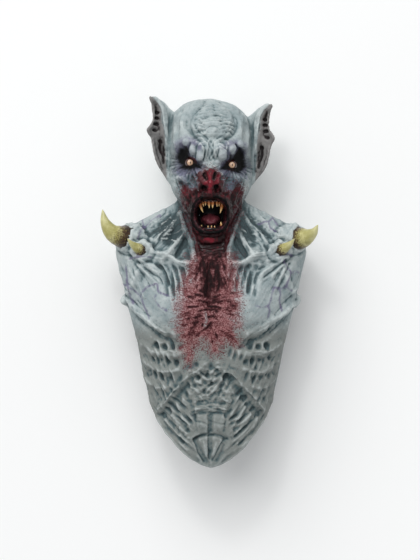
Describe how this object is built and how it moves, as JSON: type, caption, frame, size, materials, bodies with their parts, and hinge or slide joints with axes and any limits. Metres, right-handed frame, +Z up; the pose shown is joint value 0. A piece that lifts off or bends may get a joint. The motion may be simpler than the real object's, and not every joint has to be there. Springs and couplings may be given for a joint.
{
  "type": "full head and chest costume mask",
  "caption": "Hollow bat-like vampire head and chest mask with pointed ears, domed eyes, fangs and shoulder horns, lying on its back.",
  "frame": {"origin": "on the floor, under the middle of the bounding box of the mask as it lies on its back", "axes": "+Z up, out of the face; +Y from the chest's lower tip towards the crown; +X to the right of someone who looks down on the face"},
  "size_m": [0.4742, 0.8142, 0.2612],
  "materials": {
    "painted_latex": "hand-painted matt latex",
    "eye_acrylic": "glossy",
    "tooth_acrylic": "stained, glossy",
    "horn_resin": "painted, satin"
  },
  "bodies": {
    "root": {"mask_skin": "painted_latex", "eye_left": "eye_acrylic", "eye_right": "eye_acrylic", "teeth_upper": "tooth_acrylic", "teeth_lower": "tooth_acrylic", "horn_large_left": "horn_resin", "horn_large_right": "horn_resin", "horn_small_left": "horn_resin", "horn_small_right": "horn_resin"}
  },
  "joints": []
}
